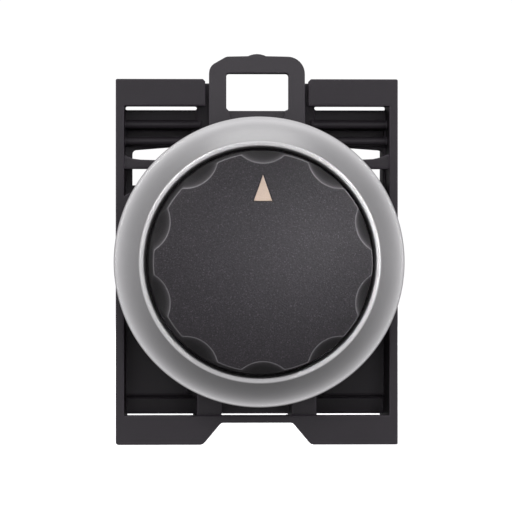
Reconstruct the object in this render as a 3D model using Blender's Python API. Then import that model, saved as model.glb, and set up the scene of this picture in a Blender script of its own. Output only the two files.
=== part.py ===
"""Rotary switch for a 22 mm panel hole: knob, bezel, head, fixing adapter and one contact block.

The knob turns a rotor through a quarter turn. Two helical ramps on the rotor push the tappet
back, the tappet pushes the plunger of the contact block, and the plunger carries the bridge
onto the two fixed contacts. The adapter slides over the collar behind the panel and its latch
drops into the collar's groove; two clamp screws then press on the back of the panel.

Axes: X to the right, Y into the panel, Z up. The origin is the centre of the panel hole at the
front face of the panel. Every size is in millimetres; the mesh builders turn them into metres.
"""

import math

import bmesh
import bpy
from mathutils import Matrix, Vector

MM = 0.001
ROUND_STEPS = 72  # segments of a large turned piece
SMALL_STEPS = 24  # segments of a pin, screw or small hole
RUN = 0.1  # running clearance between pieces that move on each other
GAP = 0.1  # gap between pieces that rest on each other

# Switching motion
QUARTER_TURN = 90.0
STROKE = 3.2  # tappet and plunger travel over the quarter turn

# Knob
KNOB_FACE_Y = -15.0
KNOB_FACE_R = 10.65
KNOB_SKIRT_R = 11.25
KNOB_SKIRT_Y = -6.0
KNOB_BASE_Y = -3.2
KNOB_ROOF = 1.8
KNOB_HUB_R = 4.3
KNOB_HUB_END_Y = -4.9
SCALLOPS = 10
SCALLOP_R = 3.17
SCALLOP_FACE_DEPTH = 1.0
ARROW_TIP_Z = 8.5
ARROW_BASE_Z = 5.95
ARROW_HALF_WIDTH = 0.9
ARROW_THICKNESS = 0.45

# Bezel, gasket and head body
BEZEL_R = 14.85
BEZEL_BACK_Y = -0.3
BEZEL_EDGE_Y = -1.5
BEZEL_LIP_Y = -5.0
BEZEL_LIP_R = 12.35
BEZEL_CREST_Y = -4.6
BEZEL_INNER_R = 11.75
GASKET_THICKNESS = 1.0
GASKET_OUTER_R = 14.0
COLLAR_R = 11.0
COLLAR_END_Y = 19.0
CAVITY_R = 9.3
CAVITY_Y = 0.5
FLANGE_R = 12.5
FLANGE_FRONT_Y = -2.6
GROOVE_R = 10.2
KEY_HALF_WIDTH = 1.45
KEY_TOP_Z = 12.4

# Rotor and detent
SHAFT_R = 3.2
BEARING_R = SHAFT_R + 0.15
SPIGOT_HALF = 2.0
SPIGOT_FRONT_Y = -9.4
ROTOR_FLANGE_R = 8.9
ROTOR_FLANGE_Y = (3.4, 5.0)
INDEX_HALF = 3.9
INDEX_FLAT_HALF = 2.6
INDEX_Y = (0.9, 3.6)
RAMP_INNER_R = 6.0
RAMP_OUTER_R = 8.4
RAMP_LOW_Y = 7.0
LUG_HALF_ANGLE = 7.0
RAMP_MARGIN_ANGLE = 8.5
LUG_ANGLES = (90.0, 270.0)
SEAL_Y = -1.8
SEAL_GROOVE_R = 2.35

# Tappet and rear cap
TAPPET_R = 9.0
TAPPET_DISC_Y = (10.9, 12.1)
STEM_HALF = 3.15
STEM_END_Y = 17.9
CAP_Y = (17.8, 19.0)

# Fixing adapter
ADAPTER_HALF_WIDTH = 15.0
ADAPTER_TOP_Z = 19.43
ADAPTER_BOTTOM_Z = -19.45
ADAPTER_FRONT_Y = 8.0
ADAPTER_BACK_Y = 22.0
SIDE_WALL = 0.88
FLANGE_BACK_Y = 9.3
TOP_FLANGE_EDGE_Z = 16.6
BOTTOM_FLANGE_EDGE_Z = -16.35
END_WALL = 0.88
BORE_R = 11.2
HUB_R = 12.7
PILLAR_X = (3.75, 6.35)
TOP_PILLAR_X = (4.1, 6.35)
TOP_PILLAR_Y = 12.9
RIDGE_Z = (14.8, 13.0)
RIDGE_HALF = 0.45
SLOT_X = (6.38, 14.13)
SLOT_Z = (16.44, 16.88)
SLOT_VIEW_Z = (16.34, 17.65)  # height of the notch that keeps a slot open through the side wall
WINDOW_END_X = {"right": 13.8, "left": 13.38}
FOOT_ROUND = {"right": 0.15, "left": 0.32}
UPPER_FLOOR_Y = (13.5, 14.7)
LOWER_FLOOR_Y = (16.0, 17.2)
LOWER_PANEL_Y = (17.0, 18.2)
HOOK_BAR_Y = (20.2, 21.7)
CLAMP_X = 12.65
CLAMP_Z = 5.2

# Latch
LATCH_HALF_WIDTH = 5.09
LATCH_TOP_Z = 21.8
LATCH_Y = (7.7, 9.7)
LATCH_TRAVEL = 1.2
LATCH_EDGE_R = 10.35
LATCH_POCKET_Z = (11.3, 14.95)
LATCH_PEG_Z = 13.75
LATCH_SPRING_GAP = 0.2

# Contact block
BLOCK_HALF_WIDTH = 4.8
BLOCK_HALF_HEIGHT = 15.6
BLOCK_FRONT_Y = ADAPTER_BACK_Y + GAP
BLOCK_BACK_Y = 46.5
BLOCK_WALL = 1.1
HOUSING_OPEN_X = 3.7  # the housing is open here and closed by the cover
TERMINAL_Z = 11.1
STRIP_Y = (37.15, 37.95)
TIP_THICKNESS = 0.4
BRIDGE_Y = (32.6, 33.4)
PLUNGER_TIP_Y = 18.0
CAGE_Y = (24.6, 35.2)
CAGE_WINDOW_Y = (26.2, 33.7)


# ---------------------------------------------------------------- materials


def finish(name, rgb, roughness, metallic=0.0):
    made = bpy.data.materials.new(name)
    made.use_nodes = True
    shader = made.node_tree.nodes["Principled BSDF"]
    shader.inputs["Base Color"].default_value = (*rgb, 1.0)
    shader.inputs["Roughness"].default_value = roughness
    shader.inputs["Metallic"].default_value = metallic
    made.diffuse_color = (*rgb, 1.0)
    return made


def make_finishes():
    return {
        "knob_black": finish("knob_black", (0.045, 0.044, 0.047), 0.55),
        "marker_cream": finish("marker_cream", (0.70, 0.49, 0.36), 0.6),
        "bezel_silver": finish("bezel_silver", (0.55, 0.55, 0.57), 0.38, 0.85),
        "moulded_black": finish("moulded_black", (0.038, 0.037, 0.040), 0.45),
        "seal_rubber": finish("seal_rubber", (0.018, 0.018, 0.019), 0.8),
        "rotor_white": finish("rotor_white", (0.72, 0.71, 0.67), 0.45),
        "tappet_grey": finish("tappet_grey", (0.30, 0.31, 0.32), 0.5),
        "plunger_green": finish("plunger_green", (0.03, 0.32, 0.11), 0.45),
        "cover_grey": finish("cover_grey", (0.20, 0.20, 0.21), 0.5),
        "spring_steel": finish("spring_steel", (0.60, 0.60, 0.61), 0.3, 1.0),
        "zinc_steel": finish("zinc_steel", (0.66, 0.66, 0.64), 0.35, 1.0),
        "brass": finish("brass", (0.72, 0.52, 0.22), 0.35, 1.0),
        "contact_silver": finish("contact_silver", (0.88, 0.88, 0.87), 0.25, 1.0),
    }


# ---------------------------------------------------------------- mesh builders


def clear_scene():
    for old in list(bpy.data.objects):
        bpy.data.objects.remove(old)


def mesh_object(name, bm, look):
    """Links the bmesh, written in millimetres, as an object in metres."""
    bmesh.ops.recalc_face_normals(bm, faces=bm.faces)
    bmesh.ops.scale(bm, vec=Vector((MM, MM, MM)), verts=bm.verts)
    mesh = bpy.data.meshes.new(name)
    bm.to_mesh(mesh)
    bm.free()
    mesh.materials.append(look)
    mesh.shade_smooth()
    mesh.set_sharp_from_angle(angle=math.radians(30))
    made = bpy.data.objects.new(name, mesh)
    bpy.context.scene.collection.objects.link(made)
    return made


def join_rings(bm, first, second):
    """Fills between two rings of vertices; a ring of one vertex is a point on the axis."""
    count = max(len(first), len(second))
    for k in range(count):
        corners = []
        for ring in (first, second):
            pair = [ring[k % len(ring)], ring[(k + 1) % len(ring)]]
            corners.append(pair if len(ring) > 1 else pair[:1])
        face = corners[0] + corners[1][::-1]
        if len(face) > 2:
            bm.faces.new(face)


def turned(name, profile, look, steps=ROUND_STEPS, centre=(0.0, 0.0)):
    """Turns a closed profile of (radius, y) points about the Y axis through centre (x, z)."""
    bm = bmesh.new()
    rings = []
    for radius, y in profile:
        turns = [360.0 * k / steps for k in range(steps)] if radius > 0 else [0.0]
        rings.append([bm.verts.new(polar(radius, a, y, centre)) for a in turns])
    for first, second in zip(rings, rings[1:] + rings[:1]):
        join_rings(bm, first, second)
    return mesh_object(name, bm, look)


def polar(radius, angle, y, centre=(0.0, 0.0)):
    """A point at this angle, in degrees clockwise from +Z as seen from the front."""
    a = math.radians(angle)
    return (centre[0] + radius * math.sin(a), y, centre[1] + radius * math.cos(a))


def extruded(name, outline, low, high, look, axis="Y"):
    """Extrudes a closed outline: (x, z) points along Y, (y, z) along X, or (x, y) along Z."""
    place = {
        "X": lambda p, d: (d, p[0], p[1]),
        "Y": lambda p, d: (p[0], d, p[1]),
        "Z": lambda p, d: (p[0], p[1], d),
    }[axis]
    bm = bmesh.new()
    ends = [[bm.verts.new(place(p, d)) for p in outline] for d in (low, high)]
    bm.faces.new(ends[0])
    bm.faces.new(ends[1])
    join_rings(bm, *ends)
    return mesh_object(name, bm, look)


def block(name, x, y, z, look):
    """A box between the (low, high) pairs x, y and z."""
    outline = [(x[0], z[0]), (x[1], z[0]), (x[1], z[1]), (x[0], z[1])]
    return extruded(name, outline, y[0], y[1], look)


def rod(name, radius, y, look, centre=(0.0, 0.0), steps=SMALL_STEPS):
    """A solid cylinder along Y."""
    low, high = y
    return turned(name, [(0, low), (radius, low), (radius, high), (0, high)], look, steps, centre)


def sector(name, radii, angles, back_y, front_of, look, steps=12):
    """A curved wall between two radii whose front edge follows front_of(angle)."""
    bm = bmesh.new()
    rings = []
    for k in range(steps + 1):
        angle = angles[0] + (angles[1] - angles[0]) * k / steps
        front = front_of(angle)
        corners = [(radii[0], front), (radii[1], front), (radii[1], back_y), (radii[0], back_y)]
        rings.append([bm.verts.new(polar(radius, angle, y)) for radius, y in corners])
    for first, second in zip(rings, rings[1:]):
        join_rings(bm, first, second)
    bm.faces.new(rings[0])
    bm.faces.new(rings[-1])
    return mesh_object(name, bm, look)


def coil(name, mean_r, wire_r, length, turns, look, origin, along="Y"):
    """A compression spring from origin, as a curve with a round bevel."""
    points_a_turn = 14
    count = int(turns * points_a_turn)
    curve = bpy.data.curves.new(name, "CURVE")
    curve.dimensions = "3D"
    curve.bevel_depth = wire_r * MM
    curve.bevel_resolution = 1
    curve.use_fill_caps = True
    spline = curve.splines.new("POLY")
    spline.points.add(count)
    for k in range(count + 1):
        angle = 2 * math.pi * turns * k / count
        rise = wire_r + (length - 2 * wire_r) * k / count
        across = (mean_r * math.cos(angle), mean_r * math.sin(angle))
        offset = (across[0], rise, across[1]) if along == "Y" else (*across, rise)
        place = (Vector(origin) + Vector(offset)) * MM
        spline.points[k].co = (*place, 1.0)
    curve.materials.append(look)
    made = bpy.data.objects.new(name, curve)
    bpy.context.scene.collection.objects.link(made)
    return made


def boolean(target, operation, others):
    for other in others:
        other.hide_render = True
        other.display_type = "WIRE"
        modifier = target.modifiers.new(other.name, "BOOLEAN")
        modifier.operation = operation
        modifier.solver = "EXACT"
        modifier.object = other
    return target


def fuse(target, *others):
    return boolean(target, "UNION", others)


def cut(target, *cutters):
    return boolean(target, "DIFFERENCE", cutters)


def arc(centre, radius, start, end, steps=6):
    """Points of an arc in the plane of an outline, angles in degrees from the first axis."""
    angles = [math.radians(start + (end - start) * k / steps) for k in range(steps + 1)]
    return [(centre[0] + radius * math.cos(a), centre[1] + radius * math.sin(a)) for a in angles]


def rounded(low, high, radius, steps=4):
    """The outline of a rectangle with round corners."""
    points = []
    for k, (px, pz) in enumerate(((high[0], high[1]), (low[0], high[1]), low, (high[0], low[1]))):
        sx = -1 if k in (0, 3) else 1
        sz = -1 if k in (0, 1) else 1
        points += arc((px + sx * radius, pz + sz * radius), radius, 90 * k, 90 * k + 90, steps)
    return points


def sides(pair):
    """The (low, high) pair on the right and its mirror image on the left."""
    return (("right", pair), ("left", (-pair[1], -pair[0])))


def mirrored(outline, side):
    """The outline as drawn for the right side, or its mirror image for the left."""
    return outline if side == "right" else [(-x, z) for x, z in reversed(outline)]


def cross_recess(name, centre, mouth_y, depth, half_length, look):
    """Two crossed blades that cut a cross drive into a screw head facing +Y."""
    x, z = centre
    half_blade = 0.22
    inside, outside = mouth_y - depth, mouth_y + 1.0
    y = (inside, outside)
    flat = block(name + "_flat", (x - half_length, x + half_length), y,
                 (z - half_blade, z + half_blade), look)
    upright = block(name + "_upright", (x - half_blade, x + half_blade), y,
                    (z - half_length, z + half_length), look)
    return flat, upright


# ---------------------------------------------------------------- head


def arrow_outline(grow=0.0):
    """The marker's triangle; grow widens it into the pocket it sits in."""
    half = ARROW_HALF_WIDTH + grow
    return [(-half, ARROW_BASE_Z - grow), (half, ARROW_BASE_Z - grow), (0.0, ARROW_TIP_Z + 2 * grow)]


def scallop_cutter(index, look):
    """A cylinder that leans outwards, so that a scallop is deep at the face and gone at the skirt."""
    face_r = KNOB_FACE_R - SCALLOP_FACE_DEPTH + SCALLOP_R
    lean = (KNOB_SKIRT_R - KNOB_FACE_R + SCALLOP_FACE_DEPTH) / (KNOB_SKIRT_Y - KNOB_FACE_Y)
    angle = 360.0 * index / SCALLOPS
    bm = bmesh.new()
    rings = []
    for y in (KNOB_FACE_Y - 1.5, KNOB_SKIRT_Y + 1.5):
        centre_r = face_r + lean * (y - KNOB_FACE_Y)
        middle = Vector(polar(centre_r, angle, y))
        spokes = [Vector(polar(SCALLOP_R, 360.0 * k / 40, 0.0)) for k in range(40)]
        rings.append([bm.verts.new(middle + spoke) for spoke in spokes])
        bm.faces.new(rings[-1])
    join_rings(bm, *rings)
    return mesh_object(f"cutter_scallop_{index}", bm, look)


def make_knob(looks):
    look = looks["knob_black"]
    roof_y = KNOB_FACE_Y + KNOB_ROOF
    knob = turned("knob", [
        (0, KNOB_FACE_Y), (KNOB_FACE_R, KNOB_FACE_Y), (KNOB_SKIRT_R, KNOB_SKIRT_Y),
        (KNOB_SKIRT_R, KNOB_BASE_Y), (9.9, KNOB_BASE_Y), (8.5, roof_y),
        (KNOB_HUB_R, roof_y), (KNOB_HUB_R, KNOB_HUB_END_Y), (0, KNOB_HUB_END_Y),
    ], look, 80)
    socket_half = SPIGOT_HALF + 0.15
    socket_y = (SPIGOT_FRONT_Y - GAP, KNOB_HUB_END_Y + 1.0)
    cut(knob,
        block("cutter_knob_socket", (-socket_half, socket_half), socket_y,
              (-socket_half, socket_half), look),
        rod("cutter_knob_pilot", 1.2, (-12.4, SPIGOT_FRONT_Y), look),
        extruded("cutter_arrow_pocket", arrow_outline(0.06), KNOB_FACE_Y - 1.0,
                 KNOB_FACE_Y + ARROW_THICKNESS + 0.1, look),
        *[scallop_cutter(k, look) for k in range(SCALLOPS)])
    extruded("arrow_marker", arrow_outline(), KNOB_FACE_Y, KNOB_FACE_Y + ARROW_THICKNESS,
             looks["marker_cream"])


def bezel_flare(steps=8):
    """The concave flare from the rim in to the lip: nearly flat at the rim and steep at the lip."""
    rim_r, rim_y = BEZEL_R - 0.4, BEZEL_EDGE_Y - 0.4
    points = []
    for k in range(1, steps + 1):
        t = k / steps
        radius = rim_r + (BEZEL_LIP_R - rim_r) * t
        points.append((radius, rim_y + (BEZEL_CREST_Y - rim_y) * t ** 1.7))
    return points


def make_bezel(looks):
    rim = arc((BEZEL_R - 0.4, BEZEL_EDGE_Y), 0.4, 0, -90, 4)
    lip = [*arc((BEZEL_LIP_R - 0.25, BEZEL_LIP_Y + 0.25), 0.25, -30, -90, 3),
           *arc((BEZEL_INNER_R + 0.12, BEZEL_LIP_Y + 0.12), 0.12, -90, -180, 2)]
    skirt_r = GASKET_OUTER_R + 0.25
    seat_r = FLANGE_R + GAP
    turned("bezel_ring", [
        (skirt_r, BEZEL_BACK_Y), (BEZEL_R, BEZEL_BACK_Y), *rim, *bezel_flare(), *lip,
        (BEZEL_INNER_R, FLANGE_FRONT_Y - GAP), (seat_r, FLANGE_FRONT_Y - GAP),
        (seat_r, -GASKET_THICKNESS - GAP), (skirt_r, -GASKET_THICKNESS - GAP),
    ], looks["bezel_silver"])


def make_gasket(looks):
    look = looks["seal_rubber"]
    gasket = turned("panel_gasket", [
        (COLLAR_R + GAP, -GASKET_THICKNESS), (GASKET_OUTER_R, -GASKET_THICKNESS),
        (GASKET_OUTER_R, 0.0), (COLLAR_R + GAP, 0.0),
    ], look)
    notch_half = KEY_HALF_WIDTH + GAP
    cut(gasket, block("cutter_gasket_notch", (-notch_half, notch_half), (-2.0, 1.0),
                      (9.0, KEY_TOP_Z + GAP), look))


def make_head_body(looks):
    look = looks["moulded_black"]
    groove = (LATCH_Y[0] - GAP, LATCH_Y[1] + GAP)
    body = turned("head_body", [
        (BEARING_R, -4.4), (5.0, -4.4), (5.0, FLANGE_FRONT_Y), (FLANGE_R, FLANGE_FRONT_Y),
        (FLANGE_R, -GASKET_THICKNESS - GAP), (COLLAR_R, -GASKET_THICKNESS - GAP),
        (COLLAR_R, groove[0]), (GROOVE_R, groove[0]), (GROOVE_R, groove[1]),
        (COLLAR_R, groove[1]), (COLLAR_R, COLLAR_END_Y), (CAVITY_R, COLLAR_END_Y),
        (CAVITY_R, CAVITY_Y), (BEARING_R, CAVITY_Y),
    ], look)
    key = block("fused_key", (-KEY_HALF_WIDTH, KEY_HALF_WIDTH),
                (-GASKET_THICKNESS - 0.8, 5.5), (10.0, KEY_TOP_Z), look)
    posts = [rod(f"fused_detent_post_{k}", 0.8, (CAVITY_Y - 0.5, 3.1), look, (x, z), 16)
             for k, (x, z) in enumerate(((0.0, -6.3), (5.9, 5.6), (-5.9, 5.6)))]
    fuse(body, key, *posts)
    windows = [block(f"cutter_cap_window_{k}", (-1.5, 1.5), (17.4, 18.7), z, look)
               for k, z in enumerate(((8.5, 12.0), (-12.0, -8.5)))]
    cut(body, *windows)


def ramp_y(lug_angle):
    """The height of a ramp's face by angle: it falls by the stroke over each quarter turn."""
    return lambda angle: RAMP_LOW_Y + STROKE * (lug_angle - angle) / QUARTER_TURN


def make_rotor(looks):
    look = looks["rotor_white"]
    flange_front, flange_back = ROTOR_FLANGE_Y
    groove = (SEAL_Y - 0.5, SEAL_Y + 0.5)
    rotor = turned("rotor", [
        (0, -4.6), (SHAFT_R, -4.6), (SHAFT_R, groove[0]), (SEAL_GROOVE_R, groove[0]),
        (SEAL_GROOVE_R, groove[1]), (SHAFT_R, groove[1]), (SHAFT_R, flange_front),
        (ROTOR_FLANGE_R, flange_front), (ROTOR_FLANGE_R, flange_back), (4.2, flange_back),
        (4.2, 7.4), (0, 7.4),
    ], look, 48)
    h, f = INDEX_HALF, INDEX_FLAT_HALF
    square = [(h, -f), (h, f), (f, h), (-f, h), (-h, f), (-h, -f), (-f, -h), (f, -h)]
    ramps = []
    for lug_angle in LUG_ANGLES:
        span = (lug_angle - QUARTER_TURN - RAMP_MARGIN_ANGLE, lug_angle + RAMP_MARGIN_ANGLE)
        ramps.append(sector(f"fused_ramp_{lug_angle:.0f}", (RAMP_INNER_R, RAMP_OUTER_R), span,
                            flange_back - 0.5, ramp_y(lug_angle), look, 20))
    s = SPIGOT_HALF
    fuse(rotor, block("fused_spigot", (-s, s), (SPIGOT_FRONT_Y, -4.0), (-s, s), look),
         extruded("fused_index_square", square, *INDEX_Y, look), *ramps)
    cut(rotor, rod("cutter_rotor_bore", 1.35, (-10.5, 8.5), look),
        rod("cutter_screw_recess", 2.7, (5.2, 8.6), look))
    section = arc((2.83, SEAL_Y), 0.42, 0, 330, 11)
    turned("shaft_seal", section, looks["seal_rubber"], 36)


def make_knob_screw(looks):
    look = looks["zinc_steel"]
    screw = turned("knob_screw", [
        (0, -12.1), (0.6, -12.1), (1.05, -11.2), (1.05, 5.5), (2.3, 5.5), (2.3, 6.8),
        (2.0, 7.1), (0, 7.1),
    ], look, SMALL_STEPS)
    cut(screw, *cross_recess("cutter_knob_screw", (0.0, 0.0), 7.1, 0.9, 1.3, look))


def make_detent_spring(looks):
    """A hairpin leaf whose two legs press on the flats of the rotor's index square."""
    inner, outer = INDEX_HALF + RUN, INDEX_HALF + RUN + 0.35
    bow_z, leg_top, toe = -3.6, 5.6, 0.7
    outline = [
        *arc((0.0, bow_z), outer, -180, 0, 16), (outer, leg_top), (outer + toe, leg_top + toe),
        (outer + toe - 0.4, leg_top + toe + 0.25), (inner, leg_top + 0.2),
        *arc((0.0, bow_z), inner, 0, -180, 16), (-inner, leg_top + 0.2),
        (-outer - toe + 0.4, leg_top + toe + 0.25), (-outer - toe, leg_top + toe),
        (-outer, leg_top),
    ]
    extruded("detent_spring", outline, 1.1, 2.9, looks["spring_steel"])


def make_tappet(looks):
    look = looks["tappet_grey"]
    disc_front, disc_back = TAPPET_DISC_Y
    tappet = rod("tappet", TAPPET_R, TAPPET_DISC_Y, look, steps=60)
    s = STEM_HALF
    stem = block("fused_stem", (-s, s), (disc_back - 0.5, STEM_END_Y), (-s, s), look)
    lugs = []
    for lug_angle in LUG_ANGLES:
        face = ramp_y(lug_angle)
        span = (lug_angle - LUG_HALF_ANGLE, lug_angle + LUG_HALF_ANGLE)
        lugs.append(sector(f"fused_lug_{lug_angle:.0f}", (RAMP_INNER_R + 0.2, RAMP_OUTER_R - 0.2),
                           span, disc_front + 0.5, lambda a, face=face: face(a) + RUN, look, 6))
    fuse(tappet, stem, *lugs)
    hollow = s - 0.9
    cut(tappet, block("cutter_stem_hollow", (-hollow, hollow), (disc_front - 1, STEM_END_Y - 1.2),
                      (-hollow, hollow), look))
    coil("tappet_spring", 5.6, 0.22, CAP_Y[0] - 0.15 - disc_back - 0.15, 4.0,
         looks["spring_steel"], (0.0, disc_back + 0.15, 0.0))


def make_rear_cap(looks):
    look = looks["moulded_black"]
    cap = turned("rear_cap", [
        (0, CAP_Y[0]), (7.9, CAP_Y[0]), (7.9, CAP_Y[0] - 1.3), (9.2, CAP_Y[0] - 1.3),
        (9.2, CAP_Y[1]), (0, CAP_Y[1]),
    ], look)
    barbs = [block(f"fused_cap_barb_{k}", (-1.2, 1.2), (17.7, 18.4), z, look)
             for k, z in enumerate(((8.6, 10.4), (-10.4, -8.6)))]
    fuse(cap, *barbs)
    hole = STEM_HALF + 0.2
    cut(cap, block("cutter_cap_hole", (-hole, hole), (15.0, 20.0), (-hole, hole), look))


# ---------------------------------------------------------------- adapter


def bottom_flange_outline():
    """The front flange below the bays, with the trapezium notch in its lower edge."""
    edge, bottom = BOTTOM_FLANGE_EDGE_Z, ADAPTER_BOTTOM_Z
    reach = ADAPTER_HALF_WIDTH - 0.6
    half = [(reach, edge), (reach, bottom), (6.05, bottom), (5.75, bottom + 0.07),
            (5.5, bottom + 0.3), (3.95, -17.3), (3.8, -17.17), (3.6, -17.12)]
    return half + [(-x, z) for x, z in reversed(half)]


def side_wall_outline(foot):
    """A side wall from the front, drawn on the right, with the round corner at its foot."""
    inner, outer = ADAPTER_HALF_WIDTH - SIDE_WALL, ADAPTER_HALF_WIDTH
    return [
        (inner, ADAPTER_TOP_Z), (inner, ADAPTER_BOTTOM_Z),
        *arc((outer - foot, ADAPTER_BOTTOM_Z + foot), foot, -90, 0, 4),
        *arc((outer - 0.15, ADAPTER_TOP_Z - 0.15), 0.15, 0, 90, 2),
    ]


def adapter_walls(look):
    """Side walls, the flanges at the front and the walls behind them."""
    w, front, back = ADAPTER_HALF_WIDTH, ADAPTER_FRONT_Y, ADAPTER_BACK_Y
    top, bottom = ADAPTER_TOP_Z, ADAPTER_BOTTOM_Z
    pieces = [extruded("fused_bottom_flange", bottom_flange_outline(), front, FLANGE_BACK_Y, look)]
    flange = [(5.5, TOP_FLANGE_EDGE_Z), (5.5, top - 0.25), (5.75, top), (w - 0.6, top),
              (w - 0.6, TOP_FLANGE_EDGE_Z)]
    slope = [(5.5, bottom + 0.3), (5.75, bottom + 0.07), (6.05, bottom), (6.8, bottom),
             (4.8, -17.12), (3.6, -17.12), (3.8, -17.17), (3.95, -17.3)]
    for side in ("right", "left"):
        for name, outline, start in (("top_flange", flange, front),
                                     ("side_wall", side_wall_outline(FOOT_ROUND[side]), front),
                                     ("slope_wall", slope, front + 0.5)):
            end = FLANGE_BACK_Y if name == "top_flange" else back
            pieces.append(extruded(f"fused_{name}_{side}", mirrored(outline, side), start, end,
                                   look))
    for side, x in sides((5.75, w - 0.6)):
        pieces.append(block(f"fused_top_wall_{side}", x, (front + 0.5, back),
                            (top - END_WALL, top), look))
    for side, x in sides((6.2, w - 0.6)):
        pieces.append(block(f"fused_bottom_wall_{side}", x, (front + 0.5, back),
                            (bottom, bottom + END_WALL), look))
    return pieces


def adapter_pillars(look):
    """The ribs between the three contact positions, and the hook bars across them."""
    pieces = []
    for side, x in sides(TOP_PILLAR_X):
        pieces.append(block(f"fused_top_pillar_{side}", x, (TOP_PILLAR_Y, ADAPTER_BACK_Y),
                            (11.5, 19.3), look))
    for side, x in sides(PILLAR_X):
        pieces.append(block(f"fused_bottom_pillar_{side}", x, (8.7, ADAPTER_BACK_Y),
                            (-17.0, -11.5), look))
    reach = ADAPTER_HALF_WIDTH - 0.4
    for name, z in (("upper", (15.4, 16.2)), ("lower", (-16.2, -15.4))):
        pieces.append(block(f"fused_hook_bar_{name}", (-reach, reach), HOOK_BAR_Y, z, look))
    return pieces


def adapter_floors(look):
    """The floors of the bays, with the rounded ridges across the two upper ones."""
    pieces = []
    for side, x in sides((6.0, ADAPTER_HALF_WIDTH - 0.5)):
        pieces += [
            block(f"fused_upper_floor_{side}", x, UPPER_FLOOR_Y, (6.8, 18.9), look),
            block(f"fused_lower_floor_{side}", x, LOWER_FLOOR_Y, (-14.9, -6.0), look),
            block(f"fused_lower_panel_{side}", x, LOWER_PANEL_Y, (-16.7, -14.2), look),
        ]
        for k, z in enumerate(RIDGE_Z):
            bar = [(13.7, z - RIDGE_HALF), (13.7, z + RIDGE_HALF),
                   *arc((11.7, z), RIDGE_HALF, 90, 270, 6)]
            pieces.append(extruded(f"fused_ridge_{k}_{side}", bar, *x, look, axis="X"))
        pieces.append(block(f"fused_groove_back_{side}", x, (UPPER_FLOOR_Y[1] - 0.1, 16.6),
                            (RIDGE_Z[1], RIDGE_Z[0]), look))
    for side, x in sides((PILLAR_X[1] - 0.1, 6.8)):
        pieces.append(block(f"fused_slot_end_{side}", x, LOWER_PANEL_Y, (-17.2, -14.2), look))
    for side, x in sides((7.25, 7.75)):
        pieces.append(block(f"fused_lower_rib_{side}", x, (LOWER_FLOOR_Y[0] - 1.2, 16.5),
                            (-14.35, -8.0), look))
    for side, x in sides((11.2, ADAPTER_HALF_WIDTH - 0.5)):
        pieces.append(block(f"fused_side_floor_{side}", x, (13.7, 17.0), (-7.0, 7.5), look))
    centre = (-PILLAR_X[0] - 0.5, PILLAR_X[0] + 0.5)
    pieces += [
        block("fused_centre_floor", centre, LOWER_PANEL_Y, (-16.7, -12.2), look),
        block("fused_cross_wall", centre, (10.0, 11.5), (12.2, 15.9), look),
        block("fused_latch_peg", (-1.0, 1.0), (8.1, 10.5), (LATCH_PEG_Z, LATCH_PEG_Z + 1.0), look),
    ]
    return pieces


def adapter_hub(look):
    """The bored hub, its locking ledge, the spokes, the latch guides and the screw bosses."""
    front, back = ADAPTER_FRONT_Y, ADAPTER_BACK_Y
    hub = turned("adapter_frame", [(BORE_R, front), (HUB_R, front), (HUB_R, back), (BORE_R, back)],
                 look)
    pieces = [sector("fused_ledge", (10.5, 11.8), (152.0, 208.0), LATCH_Y[1], lambda _: front + 0.1,
                     look, 10)]
    inner_x = LATCH_HALF_WIDTH + 0.26
    for side, rise in (("right", 0.16), ("left", 0.0)):
        spoke = [(6.8, 9.95), (13.3, 9.95), (14.4, 9.85), (14.4, 11.6), (13.75, 11.2 + rise),
                 (13.2, 10.98 + rise), (12.4, 10.88 + rise / 2), (6.8, 10.7)]
        pieces.append(extruded(f"fused_spoke_{side}", mirrored(spoke, side), 8.5, 11.0, look))
    for side, x in sides((inner_x - 0.1, 6.9)):
        pieces.append(block(f"fused_latch_guide_{side}", x, (front, 11.0), (10.5, 13.7), look))
    for side, (x, z) in clamp_places():
        pieces.append(rod(f"fused_boss_{side}", 2.3, (front, back), look, (x, z), 32))
    return hub, pieces


def clamp_places():
    """Where the two clamp screws stand, on the diagonal."""
    return (("left", (-CLAMP_X, CLAMP_Z)), ("right", (CLAMP_X, -CLAMP_Z)))


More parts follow.
